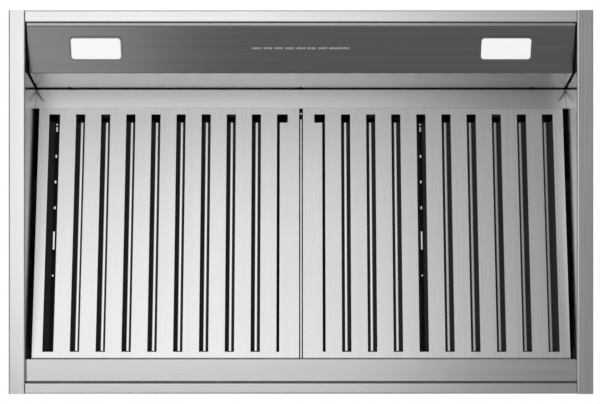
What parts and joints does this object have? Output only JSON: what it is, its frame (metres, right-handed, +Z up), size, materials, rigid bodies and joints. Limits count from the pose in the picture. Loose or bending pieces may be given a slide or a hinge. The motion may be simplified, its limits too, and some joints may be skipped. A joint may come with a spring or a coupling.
{
  "type": "wall mount range hood",
  "caption": "Wall mount range hood: folded steel canopy, hinged baffle filters, grease tray, slanted lamp panel, inside blower and round duct collar with back-draught flaps.",
  "frame": {"origin": "middle of the canopy's outline on the plane of its bottom rim", "axes": "+X to the right seen from the front, +Y toward the wall, +Z up"},
  "size_m": [0.9144, 0.6, 0.507],
  "materials": {
    "canopy_steel": "satin",
    "panel_steel": "satin",
    "filter_steel": "satin",
    "baffle_steel": "satin",
    "tray_steel": "satin",
    "pin_steel": "polished",
    "bracket_steel": "zinc plated",
    "spring_steel": "polished",
    "lens": "frosted",
    "bezel": "satin",
    "board": "matt",
    "led_board": "matt",
    "galvanised": "galvanised",
    "wheel": "matt",
    "flaps": "satin",
    "motor_case": "satin",
    "mount_rubber": "matt",
    "black_plastic": "matt",
    "white_plastic": "matt",
    "screw_steel": "zinc plated"
  },
  "bodies": {
    "canopy": {"left_side_panel": "canopy_steel", "right_side_panel": "canopy_steel", "front_panel": "canopy_steel", "back_panel": "canopy_steel", "top_panel": "canopy_steel", "control_panel": "panel_steel", "ledge_plate": "panel_steel", "centre_divider": "baffle_steel", "damper_pin": "pin_steel", "panel_brackets": "bracket_steel", "filter_hangers": "bracket_steel", "motor_bracket": "bracket_steel", "lamp_housings": "bracket_steel", "wiring_box": "bracket_steel", "wiring_cover": "bracket_steel", "filter_catches": "spring_steel", "tray_clips": "spring_steel", "lamp_lenses": "lens", "lamp_bezels": "bezel", "touch_board": "board", "lamp_boards": "led_board", "blower_scroll": "galvanised", "blower_side_left": "galvanised", "blower_side_right": "galvanised", "duct_collar": "galvanised", "motor": "motor_case", "motor_mounts": "mount_rubber", "run_capacitor": "black_plastic", "cable_clamp": "black_plastic", "lamp_driver": "white_plastic", "top_screws": "screw_steel", "collar_screws": "screw_steel", "blower_screws": "screw_steel", "cover_screws": "screw_steel"},
    "left_filter": {"left_filter_pan": "filter_steel", "left_filter_baffles": "baffle_steel", "left_filter_rails": "baffle_steel", "left_filter_pivots": "pin_steel"},
    "right_filter": {"right_filter_pan": "filter_steel", "right_filter_baffles": "baffle_steel", "right_filter_rails": "baffle_steel", "right_filter_pivots": "pin_steel"},
    "grease_tray": {"grease_tray": "tray_steel"},
    "impeller": {"impeller": "wheel"},
    "left_damper": {"left_damper": "flaps"},
    "right_damper": {"right_damper": "flaps"}
  },
  "joints": [
    {"name": "left_filter_hinge", "type": "hinge", "parent": "canopy", "child": "left_filter", "pos_m": [-0.214, 0.24127, 0.03488], "axis": [1, 0, 0], "range_deg": [0, 60]},
    {"name": "right_filter_hinge", "type": "hinge", "parent": "canopy", "child": "right_filter", "pos_m": [0.214, 0.24127, 0.03488], "axis": [1, 0, 0], "range_deg": [0, 60]},
    {"name": "tray_slide", "type": "slide", "parent": "canopy", "child": "grease_tray", "axis": [0, 0, -1], "range_m": [0, 0.06]},
    {"name": "wheel_shaft", "type": "hinge", "parent": "canopy", "child": "impeller", "pos_m": [0, 0.175, 0.3], "axis": [1, 0, 0], "continuous": true},
    {"name": "left_flap_hinge", "type": "hinge", "parent": "canopy", "child": "left_damper", "pos_m": [0, 0.1125, 0.4815], "axis": [0, 1, 0], "range_deg": [0, 80]},
    {"name": "right_flap_hinge", "type": "hinge", "parent": "canopy", "child": "right_damper", "pos_m": [0, 0.1125, 0.4815], "axis": [0, -1, 0], "range_deg": [0, 80]}
  ]
}
